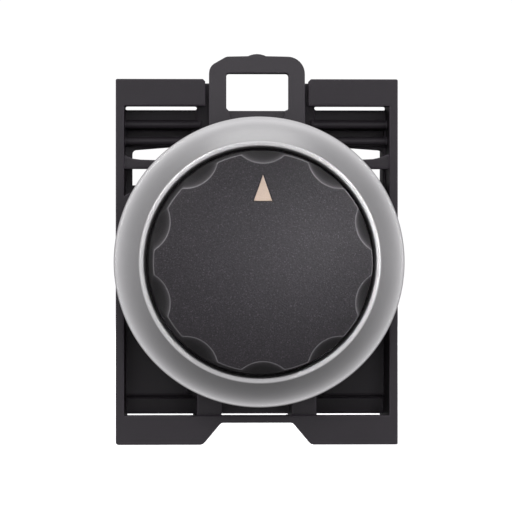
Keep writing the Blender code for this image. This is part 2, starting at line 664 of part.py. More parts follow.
def adapter_cutters(look):
    """Slots, windows, the latch's channel, the bore and the screw holes."""
    cutters = [rod("cutter_bore", BORE_R, (10.0, 30.0), look, steps=ROUND_STEPS)]
    for side, x in sides(SLOT_X):
        slot = rounded((x[0], SLOT_Z[0]), (x[1], SLOT_Z[1]), 0.2)
        cutters.append(extruded(f"cutter_slot_{side}", slot, 12.5, 15.5, look))
    for side, x in sides((ADAPTER_HALF_WIDTH - SIDE_WALL - 0.1, ADAPTER_HALF_WIDTH + 0.5)):
        cutters.append(block(f"cutter_wall_notch_{side}", x, (15.0, ADAPTER_BACK_Y + 1.0),
                             SLOT_VIEW_Z, look))
    for side, end in WINDOW_END_X.items():
        window = [(end, 8.28), *arc((end - 0.45, 11.68), 0.45, 0, 85, 5), (9.0, 12.45),
                  (6.9, 12.5), (6.9, 8.28)]
        outline = mirrored(window, side)
        cutters.append(extruded(f"cutter_window_{side}", outline, 12.5, 20.0, look))
    for side, x in sides((6.9, 14.0)):
        cutters.append(block(f"cutter_ridge_groove_{side}", x, (12.5, 15.6),
                             (RIDGE_Z[1] + RIDGE_HALF, RIDGE_Z[0] - RIDGE_HALF), look))
    for side, x in sides((6.75, 14.1)):
        cutters.append(block(f"cutter_floor_groove_{side}", x, (15.0, 17.7), (-14.95, -14.6), look))
    channel = LATCH_HALF_WIDTH + 0.26
    cutters += [
        block("cutter_latch_channel", (-channel, channel), (6.0, 9.95), (9.0, 14.2), look),
        block("cutter_wing_slot", (-6.45, 6.45), (8.7, 9.95), (10.6, 13.5), look),
    ]
    for side, place in clamp_places():
        hole = [(0, 6.0), (1.36, 6.0), (1.36, 13.8), (1.85, 13.8), (1.85, 24.0), (0, 24.0)]
        cutters.append(turned(f"cutter_screw_hole_{side}", hole, look, 28, place))
    return cutters


def make_adapter(looks):
    look = looks["moulded_black"]
    frame, features = adapter_hub(look)
    fuse(frame, *adapter_walls(look), *adapter_floors(look), *adapter_pillars(look), *features)
    cut(frame, *adapter_cutters(look))


def latch_outline():
    """The loop with its finger nub at the top and the edge that drops into the collar's groove."""
    half, top, corner = LATCH_HALF_WIDTH, LATCH_TOP_Z, 1.85
    nub = [(x, top + 0.27 * math.cos(x * math.pi / 2) ** 0.7) for x in (0.95, 0.7, 0.35, 0.0)]
    nub += [(-x, z) for x, z in reversed(nub[:-1])]
    reach = math.degrees(math.asin(half / LATCH_EDGE_R))
    edge = arc((0.0, 0.0), LATCH_EDGE_R, 90 + reach, 90 - reach, 12)
    slanted = [*arc((-3.0, top - 0.9), 0.9, 90, 122, 4),
               *arc((-half + 1.2, top - 1.75), 1.2, 125, 180, 6)]
    return [*edge, *arc((half - corner, top - corner), corner, 0, 90, 10), *nub, *slanted]


def make_latch(looks):
    look = looks["moulded_black"]
    front, back = LATCH_Y
    latch = extruded("latch_slider", latch_outline(), front, back, look)
    wings = block("fused_wings", (-6.2, 6.2), (8.95, back), (10.9, 12.1), look)
    fuse(latch, wings)
    cut(latch,
        extruded("cutter_loop_window", rounded((-3.26, 16.1), (3.38, 20.06), 0.3), 6.0, 12.0, look),
        extruded("cutter_bar_recess", [(-2.7, 11.0), (-2.7, 14.6), (-3.1, 16.3), (3.1, 16.3),
                                       (2.7, 14.6), (2.7, 11.0)], 6.0, 8.9, look),
        block("cutter_spring_pocket", (-1.5, 1.5), (6.0, 12.0), LATCH_POCKET_Z, look))
    start = LATCH_POCKET_Z[0] + LATCH_SPRING_GAP
    coil("latch_spring", 0.8, 0.13, LATCH_PEG_Z - LATCH_SPRING_GAP - start, 3.0,
         looks["spring_steel"], (0.0, 8.95, start), "Z")


def make_clamp_screws(looks):
    look = looks["zinc_steel"]
    for side, place in clamp_places():
        screw = turned(f"clamp_screw_{side}", [
            (0, 7.7), (0.7, 7.7), (1.25, 8.3), (1.25, 20.0), (1.7, 20.0), (1.7, 21.5),
            (1.45, 21.8), (0, 21.8),
        ], look, SMALL_STEPS, place)
        cut(screw, *cross_recess(f"cutter_clamp_{side}", place, 21.8, 1.0, 1.15, look))


# ---------------------------------------------------------------- contact block


def ends():
    """The upper and the lower end of the contact block, with the sign of z."""
    return (("upper", 1.0), ("lower", -1.0))


def span(sign, low, high):
    """The (low, high) pair of z at this end."""
    return (low, high) if sign > 0 else (-high, -low)


def make_contact_housing(looks):
    look = looks["moulded_black"]
    front, back = BLOCK_FRONT_Y, BLOCK_BACK_Y
    w, h, wall = BLOCK_HALF_WIDTH, BLOCK_HALF_HEIGHT, BLOCK_WALL
    housing = block("contact_housing", (-w, HOUSING_OPEN_X), (front, back), (-h, h), look)
    hooks, cutters = [], []
    inside_x = (-w + 1.0, HOUSING_OPEN_X + 1.0)
    chamber = block("cutter_chamber", inside_x, (front + wall, back - wall), (-6.6, 6.6), look)
    for name, sign in ends():
        barb_y, nose_y = HOOK_BAR_Y[0] - GAP, HOOK_BAR_Y[0] - 1.7
        profile = [(front + 0.5, 14.0), (front + 0.5, 15.1), (barb_y, 15.1), (barb_y, 15.7),
                   (nose_y + 0.4, 15.1), (nose_y, 14.7), (nose_y, 14.0)]
        arm = [(y, sign * z) for y, z in profile]
        hooks.append(extruded(f"fused_hook_{name}", arm, -2.8, 2.8, look, axis="X"))
        cutters += [
            block(f"cutter_terminal_{name}", inside_x, (32.6, back - wall),
                  span(sign, 7.6, h - 1.0), look),
            block(f"cutter_strip_slot_{name}", (-2.7, HOUSING_OPEN_X + 1.0), (36.9, 38.2),
                  span(sign, 6.2, 8.2), look),
            rod(f"cutter_access_{name}", 3.1, (back - 2.0, back + 1.0), look,
                (0.0, sign * TERMINAL_Z)),
            extruded(f"cutter_wire_entry_{name}",
                     rounded((-2.6, 38.1), (2.6, 41.3), 0.7), *span(sign, 14.0, 17.0), look, "Z"),
        ]
    fuse(housing, *hooks)
    cut(housing, chamber, *cutters,
        block("cutter_plunger_hole", (-1.9, 1.9), (front - 1.0, front + 2.0), (-2.5, 2.5), look))


def make_contact_cover(looks):
    look = looks["cover_grey"]
    w, h = BLOCK_HALF_WIDTH, BLOCK_HALF_HEIGHT
    cover = block("contact_cover", (HOUSING_OPEN_X + GAP, w), (BLOCK_FRONT_Y, BLOCK_BACK_Y),
                  (-h, h), look)
    panel = extruded("cutter_cover_panel", rounded((26.0, -9.0), (42.5, 9.0), 1.5), w - 0.3, w + 1.0,
                     look, axis="X")
    cut(cover, panel)


def make_plunger(looks):
    look = looks["plunger_green"]
    stem = block("contact_plunger", (-1.7, 1.7), (PLUNGER_TIP_Y, CAGE_Y[0] + 0.6), (-2.3, 2.3), look)
    cage = block("fused_cage", (-2.9, 2.9), CAGE_Y, (-2.2, 2.2), look)
    boss = rod("fused_spring_boss", 1.1, (CAGE_Y[1] - 0.5, CAGE_Y[1] + 1.6), look)
    fuse(stem, cage, boss)
    cut(stem, block("cutter_cage_window", (-1.9, 1.9), CAGE_WINDOW_Y, (-4.0, 4.0), look))
    back_wall_y = BLOCK_BACK_Y - BLOCK_WALL
    coil("plunger_spring", 1.7, 0.2, back_wall_y - CAGE_Y[1] - 0.3, 6.0, looks["spring_steel"],
         (0.0, CAGE_Y[1] + 0.15, 0.0))
    coil("bridge_spring", 1.25, 0.17, BRIDGE_Y[0] - CAGE_WINDOW_Y[0] - 0.3, 4.5,
         looks["spring_steel"], (0.0, CAGE_WINDOW_Y[0] + 0.15, 0.0))


def make_contacts(looks):
    silver, brass = looks["contact_silver"], looks["brass"]
    block("contact_bridge", (-1.6, 1.6), BRIDGE_Y, (-6.1, 6.1), brass)
    tip_z, tip_r, touch = 5.05, 0.95, 0.03
    for name, sign in ends():
        place = (0.0, sign * tip_z)
        rod(f"moving_tip_{name}", tip_r, (BRIDGE_Y[1] + touch, BRIDGE_Y[1] + TIP_THICKNESS),
            silver, place)
        rod(f"fixed_tip_{name}", tip_r, (STRIP_Y[0] - TIP_THICKNESS, STRIP_Y[0] - touch),
            silver, place)
        strip = block(f"fixed_contact_{name}", (-2.4, 2.4), STRIP_Y, span(sign, 3.8, 14.2), brass)
        hub = rod(f"fused_thread_{name}", 2.3, (35.4, STRIP_Y[1] - 0.2), brass,
                  (0.0, sign * TERMINAL_Z))
        fuse(strip, hub)
        cut(strip, rod(f"cutter_thread_{name}", 1.65, (34.0, 40.0), brass,
                       (0.0, sign * TERMINAL_Z)))


def make_terminals(looks):
    steel = looks["zinc_steel"]
    for name, sign in ends():
        place = (0.0, sign * TERMINAL_Z)
        screw = turned(f"terminal_screw_{name}", [
            (0, 35.9), (1.1, 35.9), (1.55, 36.4), (1.55, 42.4), (2.85, 42.4), (2.85, 44.2),
            (2.5, 44.6), (0, 44.6),
        ], steel, SMALL_STEPS, place)
        cut(screw, *cross_recess(f"cutter_terminal_{name}_drive", place, 44.6, 1.2, 1.8, steel))
        plate = block(f"clamp_plate_{name}", (-3.0, 3.0), (41.3, 42.25), span(sign, 8.1, 14.1), steel)
        cut(plate, rod(f"cutter_plate_hole_{name}", 1.75, (40.0, 43.0), steel, place))


def main():
    clear_scene()
    looks = make_finishes()
    make_knob(looks)
    make_bezel(looks)
    make_gasket(looks)
    make_head_body(looks)
    make_rotor(looks)
    make_knob_screw(looks)
    make_detent_spring(looks)
    make_tappet(looks)
    make_rear_cap(looks)
    make_adapter(looks)
    make_latch(looks)
    make_clamp_screws(looks)
    make_contact_housing(looks)
    make_contact_cover(looks)
    make_plunger(looks)
    make_contacts(looks)
    make_terminals(looks)


main()
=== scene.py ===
"""Looks of the panel-mounted rotary switch: fine meshes, materials, light and camera.

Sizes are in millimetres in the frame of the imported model, and the builders turn them into metres.
X is to the right, Y goes into the panel and Z is up; angles are clockwise seen from the front.
"""

import math

import bmesh
import bpy
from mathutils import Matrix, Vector


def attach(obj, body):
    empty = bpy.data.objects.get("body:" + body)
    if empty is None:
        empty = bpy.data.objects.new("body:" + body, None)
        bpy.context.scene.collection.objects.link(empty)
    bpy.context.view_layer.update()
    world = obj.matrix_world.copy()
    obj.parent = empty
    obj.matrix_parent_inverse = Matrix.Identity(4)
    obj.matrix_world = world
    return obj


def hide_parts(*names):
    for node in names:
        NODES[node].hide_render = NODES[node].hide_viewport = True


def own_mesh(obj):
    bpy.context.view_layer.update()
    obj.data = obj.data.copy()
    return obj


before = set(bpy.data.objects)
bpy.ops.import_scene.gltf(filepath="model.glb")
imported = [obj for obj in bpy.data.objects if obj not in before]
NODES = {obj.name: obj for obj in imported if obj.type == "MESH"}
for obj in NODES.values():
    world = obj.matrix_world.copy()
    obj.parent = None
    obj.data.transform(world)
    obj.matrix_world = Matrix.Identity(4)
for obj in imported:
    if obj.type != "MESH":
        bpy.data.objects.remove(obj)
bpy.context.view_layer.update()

MM = 0.001

# Knob
KNOB_FACE_Y, KNOB_FACE_R = -15.0, 10.65
KNOB_SKIRT_Y, KNOB_SKIRT_R = -6.0, 11.25
KNOB_BASE_Y, KNOB_ROOF_Y = -3.2, -13.2
KNOB_BASE_R, KNOB_ROOF_R = 9.9, 8.5
KNOB_HUB_R, KNOB_HUB_END_Y = 4.3, -4.9
SOCKET_HALF, SOCKET_FRONT_Y = 2.15, -9.5
PILOT_R, PILOT_FRONT_Y = 1.2, -12.4
KNOB_BASE_CHAMFER = 0.12
KNOB_STEPS, KNOB_SIDE_STEPS, RIM_STEPS = 720, 20, 8
SCALLOPS, SCALLOP_R, SCALLOP_DEPTH = 10, 3.17, 1.0
SCALLOP_SOFTNESS = 0.16  # width over which a scallop runs into the ridge beside it
RIM_ROUND = 0.11
GRIP_INNER_R = 9.2  # the scallops and the rim lie outside this radius
MARKER_TIP_Z, MARKER_BASE_Z, MARKER_HALF_WIDTH = 8.5, 5.95, 0.9
MARKER_THICKNESS, MARKER_BEVEL = 0.45, 0.06

# Bezel
BEZEL_EDGE_R, BEZEL_BACK_Y = 14.91, -0.3
BEZEL_RIM_ROUND, BEZEL_RIM_Y = 0.18, -1.6
BEZEL_LIP_R, BEZEL_CREST_Y, BEZEL_LIP_Y = 12.35, -4.6, -5.0
BEZEL_BORE_R, BEZEL_LIP_ROUND = 11.52, 0.34
BEZEL_SEAT_R, BEZEL_SEAT_Y = 12.6, (-2.7, -1.1)
BEZEL_SKIRT_R = 14.25
FLARE_CURVE = 1.7  # power that bends the flare: flat at the rim and steep at the lip

# Shaft seal
SEAL_R, SEAL_Y, SEAL_SECTION_R = 2.83, -1.8, 0.42

# Stage, room and camera; the two radii are in metres
FLOOR_Z, FLOOR_RADIUS, BACKDROP_RADIUS = -34.0, 4.0, 5.0
ROOM_BRIGHT_SIDE = (0.0, -0.36, 0.26)
ROOM_DARK, ROOM_BRIGHT = (0.0205, 0.02, 0.0208), (0.97, 0.95, 0.98)
FLAG_STRENGTH = 0.40
CAMERA_DISTANCE, CAMERA_AZIMUTH = 264.0, math.radians(1.45)
CAMERA_TARGET = (-0.1, 8.0, 0.62)
LENS_MM, SENSOR_MM = 174.6, 36.0

# Shading
EDGE_FULL, EDGE_NONE = 0.80, 0.99  # cosines of true to rounded normal, on edges and on flats
EDGE_SAMPLES = 8
CORNER_ANGLE = math.radians(32)
SMOOTH_ANGLE = math.radians(30)


# ---------------------------------------------------------------- material tools


def new_material(name):
    made = bpy.data.materials.new(name)
    made.use_nodes = True
    return made, made.node_tree, made.node_tree.nodes["Principled BSDF"]


def link(tree, source, target):
    tree.links.new(source, target)


def object_noise(tree, feature_mm, detail=3.0, roughness=0.55, stretch=(1.0, 1.0, 1.0)):
    """Noise whose features are about feature_mm across, fixed to the piece."""
    place = tree.nodes.new("ShaderNodeTexCoord")
    mapping = tree.nodes.new("ShaderNodeMapping")
    mapping.inputs["Scale"].default_value = stretch
    texture = tree.nodes.new("ShaderNodeTexNoise")
    texture.inputs["Scale"].default_value = 1.0 / (feature_mm * MM)
    texture.inputs["Detail"].default_value = detail
    texture.inputs["Roughness"].default_value = roughness
    link(tree, place.outputs["Object"], mapping.inputs["Vector"])
    link(tree, mapping.outputs["Vector"], texture.inputs["Vector"])
    return texture.outputs["Fac"]


def ramp(tree, factor, stops):
    """A colour ramp from (position, colour) stops."""
    made = tree.nodes.new("ShaderNodeValToRGB")
    elements = made.color_ramp.elements
    while len(elements) < len(stops):
        elements.new(0.5)
    for element, (position, colour) in zip(elements, stops):
        element.position = position
        element.color = (*colour, 1.0)
    link(tree, factor, made.inputs["Fac"])
    return made.outputs["Color"]


def spread(tree, factor, low, high, start=0.3, end=0.7):
    """Turns noise from start to end into a value from low to high."""
    made = tree.nodes.new("ShaderNodeMapRange")
    made.inputs["From Min"].default_value = start
    made.inputs["From Max"].default_value = end
    made.inputs["To Min"].default_value = low
    made.inputs["To Max"].default_value = high
    link(tree, factor, made.inputs["Value"])
    return made.outputs["Result"]


def bump(tree, height, depth_mm, before):
    """Bumps of this depth on top of the normal that comes before."""
    made = tree.nodes.new("ShaderNodeBump")
    made.inputs["Strength"].default_value = 1.0
    made.inputs["Distance"].default_value = depth_mm * MM
    link(tree, height, made.inputs["Height"])
    link(tree, before, made.inputs["Normal"])
    return made.outputs["Normal"]


def shade(rgb, factor):
    return tuple(min(1.0, c * factor) for c in rgb)


def mix_colours(tree, first, second, blend, factor=1.0):
    """Blends second onto first; factor is a number or an output."""
    made = tree.nodes.new("ShaderNodeMix")
    made.data_type = "RGBA"
    made.blend_type = blend
    if isinstance(factor, float):
        made.inputs["Factor"].default_value = factor
    else:
        link(tree, factor, made.inputs["Factor"])
    link(tree, first, made.inputs["A"])
    link(tree, second, made.inputs["B"])
    return made.outputs["Result"]


def soft_edges(tree, radius_mm):
    """A normal that rounds the edges, and a mask that is 1 on them and 0 on flats."""
    rounded = tree.nodes.new("ShaderNodeBevel")
    rounded.samples = EDGE_SAMPLES
    rounded.inputs["Radius"].default_value = radius_mm * MM
    surface = tree.nodes.new("ShaderNodeNewGeometry")
    compare = tree.nodes.new("ShaderNodeVectorMath")
    compare.operation = "DOT_PRODUCT"
    link(tree, rounded.outputs["Normal"], compare.inputs[0])
    link(tree, surface.outputs["Normal"], compare.inputs[1])
    mask = spread(tree, compare.outputs["Value"], 1.0, 0.0, EDGE_FULL, EDGE_NONE)
    return rounded.outputs["Normal"], mask


def axial_place(tree):
    """The depth along Y and the distance from the Y axis, both in metres, fixed to the piece."""
    place = tree.nodes.new("ShaderNodeTexCoord")
    parts = tree.nodes.new("ShaderNodeSeparateXYZ")
    link(tree, place.outputs["Object"], parts.inputs["Vector"])
    flat = tree.nodes.new("ShaderNodeCombineXYZ")
    link(tree, parts.outputs["X"], flat.inputs["X"])
    link(tree, parts.outputs["Z"], flat.inputs["Z"])
    length = tree.nodes.new("ShaderNodeVectorMath")
    length.operation = "LENGTH"
    link(tree, flat.outputs["Vector"], length.inputs[0])
    return parts.outputs["Y"], length.outputs["Value"]


def math_node(tree, operation, first, second=0.0):
    """One step of arithmetic; second is a number or an output."""
    made = tree.nodes.new("ShaderNodeMath")
    made.operation = operation
    link(tree, first, made.inputs[0])
    if isinstance(second, float):
        made.inputs[1].default_value = second
    else:
        link(tree, second, made.inputs[1])
    return made.outputs["Value"]


def plastic(name, rgb, roughness, grain_mm, grain_depth, contrast, specular=0.5, edge_mm=0.12,
            painted_highlight_gain=1.8):
    """Moulded plastic: eroded grain, a little speckle, a painted highlight on the edges and slow
    changes of tone.
    """
    made, tree, shader = new_material(name)
    grain = object_noise(tree, grain_mm, 2.0)
    mottle = object_noise(tree, 3.0, 4.0)
    edge_normal, edge = soft_edges(tree, edge_mm)
    speckle = ramp(tree, grain, [(0.35, shade(rgb, 1 - contrast)),
                                 (0.65, shade(rgb, 1 + contrast))])
    tone = ramp(tree, mottle, [(0.3, (0.86,) * 3), (0.7, (1.0,) * 3)])
    body = mix_colours(tree, speckle, tone, "MULTIPLY")
    # A lighter colour laid over the rounded-edge mask: a painted highlight on edges and ridges.
    painted_highlight_colour = ramp(tree, grain, [(0.3, shade(rgb, painted_highlight_gain)), (0.7, shade(rgb, painted_highlight_gain * 1.2))])
    link(tree, mix_colours(tree, body, painted_highlight_colour, "MIX", edge), shader.inputs["Base Color"])
    link(tree, spread(tree, mottle, roughness - 0.05, roughness + 0.05), shader.inputs["Roughness"])
    link(tree, bump(tree, grain, grain_depth, edge_normal), shader.inputs["Normal"])
    shader.inputs["Specular IOR Level"].default_value = specular
    return made


def grained_knob(name, rgb):
    """Eroded plastic with bright specks, a painted highlight on the rim, and scallop walls painted
    light under the rim and painted in shade deeper down.
    """
    made, tree, shader = new_material(name)
    grain = object_noise(tree, 0.16, 3.0, 0.65)
    specks = object_noise(tree, 0.11, 1.0)
    mottle = object_noise(tree, 4.0, 3.0)
    edge_normal, _ = soft_edges(tree, 0.20)
    pitted = ramp(tree, grain, [(0.34, shade(rgb, 0.70)), (0.5, rgb), (0.66, shade(rgb, 1.35))])
    bright = ramp(tree, specks, [(0.62, shade(rgb, 0.0)), (0.74, shade(rgb, 1.9))])
    body = mix_colours(tree, pitted, bright, "ADD")
    tone = ramp(tree, mottle, [(0.3, (0.88,) * 3), (0.7, (1.0,) * 3)])
    body = mix_colours(tree, body, tone, "MULTIPLY")

    depth, radius = axial_place(tree)
    below_face = spread(tree, depth, 0.0, 1.0, KNOB_FACE_Y * MM, KNOB_SKIRT_Y * MM)
    outer = spread(tree, radius, 0.0, 1.0, GRIP_INNER_R * MM, (GRIP_INNER_R + 0.1) * MM)
    off_face = spread(tree, depth, 0.0, 1.0, (KNOB_FACE_Y + 0.002) * MM, (KNOB_FACE_Y + 0.01) * MM)
    outer_wall = math_node(tree, "MULTIPLY", outer, off_face)
    # Painted light and shade on the scallop walls: a lighter wall colour just under the rim,
    # darkening to painted shade deeper towards the bezel.
    wall_painted_light_and_shade = ramp(tree, below_face, [(0.0, (0.40,) * 3), (0.02, (1.0,) * 3), (0.20, (0.55,) * 3),
                                   (0.5, (0.28,) * 3), (1.0, (0.15,) * 3)])
    wall = ramp(tree, grain, [(0.3, (0.054, 0.050, 0.055)), (0.7, (0.072, 0.068, 0.073))])
    body = mix_colours(tree, body, mix_colours(tree, wall, wall_painted_light_and_shade, "MULTIPLY"), "MIX", outer_wall)
    # The rim gets a painted highlight: a band of much lighter colour where the face rounds into the
    # side.
    rim = ramp(tree, below_face, [(0.0, (0.0,) * 3), (0.0008, (1.0,) * 3), (0.012, (1.0,) * 3),
                                  (0.03, (0.0,) * 3)])
    painted_highlight_colour = ramp(tree, grain, [(0.3, (0.137, 0.132, 0.139)), (0.7, (0.185, 0.178, 0.188))])
    body = mix_colours(tree, body, painted_highlight_colour, "MIX", math_node(tree, "MULTIPLY", rim, outer))
    link(tree, body, shader.inputs["Base Color"])
    duller = math_node(tree, "ADD", spread(tree, mottle, 0.46, 0.56),
                       spread(tree, below_face, 0.0, 0.3, 0.02, 0.35))
    link(tree, duller, shader.inputs["Roughness"])
    link(tree, bump(tree, grain, 0.025, edge_normal), shader.inputs["Normal"])
    shader.inputs["Specular IOR Level"].default_value = 0.21
    return made


def metal(name, rgb, roughness, grain_mm, grain_depth, stretch=(1.0, 1.0, 1.0), tint=None,
          patch_mm=2.5):
    """Metal with fine grain or drawing lines, and slow patches of tint and polish."""
    made, tree, shader = new_material(name)
    grain = object_noise(tree, grain_mm, 3.0, 0.6, stretch)
    patches = object_noise(tree, patch_mm, 4.0)
    other = tint or shade(rgb, 0.86)
    link(tree, ramp(tree, patches, [(0.35, other), (0.65, rgb)]), shader.inputs["Base Color"])
    link(tree, spread(tree, grain, roughness - 0.06, roughness + 0.08), shader.inputs["Roughness"])
    edge_normal, _ = soft_edges(tree, 0.06)
    link(tree, bump(tree, grain, grain_depth, edge_normal), shader.inputs["Normal"])
    shader.inputs["Metallic"].default_value = 1.0
    return made


def make_materials():
    return {
        "knob_black": grained_knob("knob_grained_black", (0.0155, 0.0137, 0.0163)),
        "moulded_black": plastic("moulded_black", (0.0215, 0.0183, 0.0225), 0.45, 0.10, 0.004,
                                 0.15, edge_mm=0.2),
        # The adapter's wide, strong painted edge highlight lightens its ridges.
        "adapter_black": plastic("adapter_black", (0.0262, 0.0228, 0.0272), 0.42, 0.10, 0.004,
                                 0.15, specular=0.28, edge_mm=0.35, painted_highlight_gain=2.3),
        "latch_black": plastic("latch_black", (0.0300, 0.0262, 0.0312), 0.45, 0.10, 0.004, 0.15,
                               edge_mm=0.2),
        "marker_cream": plastic("marker_cream", (0.325, 0.250, 0.200), 0.50, 0.10, 0.004, 0.05),
        "bezel_silver": metal("bezel_satin_silver", (0.735, 0.737, 0.735), 0.40, 0.09, 0.004,
                              tint=(0.695, 0.697, 0.695), patch_mm=5.0),
        "seal_rubber": plastic("seal_rubber", (0.014, 0.014, 0.015), 0.72, 0.25, 0.006, 0.2,
                               specular=0.3),
        "rotor_white": plastic("rotor_white", (0.70, 0.69, 0.64), 0.42, 0.2, 0.003, 0.03),
        "tappet_grey": plastic("tappet_grey", (0.27, 0.28, 0.29), 0.45, 0.15, 0.004, 0.06),
        "plunger_green": plastic("plunger_green", (0.02, 0.27, 0.09), 0.40, 0.2, 0.003, 0.06),
        "cover_grey": plastic("cover_grey", (0.13, 0.13, 0.135), 0.45, 0.12, 0.005, 0.12),
        "spring_steel": metal("spring_steel", (0.55, 0.55, 0.56), 0.28, 0.08, 0.002, (1, 1, 4)),
        "zinc_steel": metal("zinc_steel", (0.68, 0.68, 0.66), 0.30, 0.12, 0.003,
                            tint=(0.62, 0.60, 0.52)),
        "brass": metal("brass_strip", (0.78, 0.58, 0.27), 0.30, 0.1, 0.002, (1, 1, 0.1),
                       tint=(0.66, 0.45, 0.20)),
        "contact_silver": metal("contact_silver", (0.88, 0.88, 0.86), 0.24, 0.1, 0.003,
                                tint=(0.80, 0.79, 0.74), patch_mm=0.8),
    }


# ---------------------------------------------------------------- mesh tools


def mesh_object(name, bm, material):
    """Links a bmesh written in millimetres as a smooth object in metres."""
    bmesh.ops.recalc_face_normals(bm, faces=bm.faces)
    bmesh.ops.scale(bm, vec=Vector((MM, MM, MM)), verts=bm.verts)
    mesh = bpy.data.meshes.new(name)
    bm.to_mesh(mesh)
    bm.free()
    mesh.materials.append(material)
    mesh.shade_smooth()
    mesh.set_sharp_from_angle(angle=SMOOTH_ANGLE)
    made = bpy.data.objects.new(name, mesh)
    bpy.context.scene.collection.objects.link(made)
    return made


def join_rings(bm, first, second):
    """Fills between two rings of vertices; a ring of one vertex is a point."""
    for k in range(max(len(first), len(second))):
        corners = []
        for ring in (first, second):
            pair = [ring[k % len(ring)], ring[(k + 1) % len(ring)]]
            corners.append(pair if len(ring) > 1 else pair[:1])
        face = corners[0] + corners[1][::-1]
        if len(face) > 2:
            bm.faces.new(face)


def polar(radius, angle, y):
    """A point at this angle, in degrees clockwise from +Z as seen from the front."""
    a = math.radians(angle)
    return (radius * math.sin(a), y, radius * math.cos(a))


def lathe(name, profile, material, steps):
    """Turns a closed profile of (radius, y) points about the Y axis."""
    bm = bmesh.new()
    rings = []
    for radius, y in profile:
        turns = [360.0 * k / steps for k in range(steps)] if radius > 0 else [0.0]
        rings.append([bm.verts.new(polar(radius, a, y)) for a in turns])
    for first, second in zip(rings, rings[1:] + rings[:1]):
        join_rings(bm, first, second)
    return mesh_object(name, bm, material)


def arc(centre, radius, start, end, steps):
    """Points of an arc in a profile, angles in degrees from the first axis."""
    angles = [math.radians(start + (end - start) * k / steps) for k in range(steps + 1)]
    return [(centre[0] + radius * math.cos(a), centre[1] + radius * math.sin(a)) for a in angles]


def spring(name, mean_r, wire_r, length, turns, material, origin, along):
    """A compression spring of round wire, from origin along Y or Z."""
    steps, sides = int(turns * 36), 12
    bm = bmesh.new()
    rings = []
    for k in range(steps + 1):
        t = k / steps
        angle = 2 * math.pi * turns * t
        rise = wire_r + (length - 2 * wire_r) * t
        outward = Vector((math.cos(angle), 0.0, math.sin(angle)))
        forward = Vector((0.0, 1.0, 0.0))
        middle = outward * mean_r + forward * rise
        ring = []
        for s in range(sides):
            a = 2 * math.pi * s / sides
            point = middle + (outward * math.cos(a) + forward * math.sin(a)) * wire_r
            if along == "Z":
                point = Vector((point.x, point.z, point.y))
            ring.append(bm.verts.new(point + Vector(origin)))
        rings.append(ring)
    for first, second in zip(rings, rings[1:]):
        join_rings(bm, first, second)
    bm.faces.new(rings[0])
    bm.faces.new(rings[-1])
    return mesh_object(name, bm, material)


def stands_for(piece, node, body):
    """Puts a fine mesh in place of a CAD node, on its body."""
    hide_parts(node)
    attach(piece, body)


def cut_with(target, cutter):
    """Cuts one mesh out of another and keeps the result as the target's own mesh."""
    modifier = target.modifiers.new("cut", "BOOLEAN")
    modifier.operation = "DIFFERENCE"
    modifier.solver = "EXACT"
    modifier.object = cutter
    bpy.context.view_layer.update()
    ready = target.evaluated_get(bpy.context.evaluated_depsgraph_get())
    mesh = bpy.data.meshes.new_from_object(ready)
    target.modifiers.clear()
    target.data = mesh
    bpy.data.objects.remove(cutter)
    mesh.shade_smooth()
    mesh.set_sharp_from_angle(angle=SMOOTH_ANGLE)


def dress(node, material):
    """Gives a CAD node its material, with round walls shaded smooth and corners kept."""
    piece = NODES[node]
    piece.data.materials.clear()
    piece.data.materials.append(material)
    for polygon in piece.data.polygons:
        polygon.use_smooth = True
    weld = piece.modifiers.new("weld", "WELD")
    weld.merge_threshold = 0.001 * MM
    corners = piece.modifiers.new("corners", "EDGE_SPLIT")
    corners.split_angle = CORNER_ANGLE
    corners.use_edge_sharp = False


# ---------------------------------------------------------------- knob


def scalloped(radius, angle, y, inset=0.0):
    """The knob's outline: ten leaning cylinders cut into a cone, with softened ridges."""
    lean = (KNOB_SKIRT_R - KNOB_FACE_R + SCALLOP_DEPTH) / (KNOB_SKIRT_Y - KNOB_FACE_Y)
    centre_r = KNOB_FACE_R - SCALLOP_DEPTH + SCALLOP_R + lean * (y - KNOB_FACE_Y)
    pitch = 360.0 / SCALLOPS
    off = math.radians((angle + pitch / 2) % pitch - pitch / 2)
    reach = SCALLOP_R + inset
    inside = reach * reach - (centre_r * math.sin(off)) ** 2
    if inside <= 0:
        return radius
    scallop = centre_r * math.cos(off) - math.sqrt(inside)
    blend = max(SCALLOP_SOFTNESS - abs(radius - scallop), 0.0) / SCALLOP_SOFTNESS
    return min(radius, scallop) - blend * blend * SCALLOP_SOFTNESS / 4


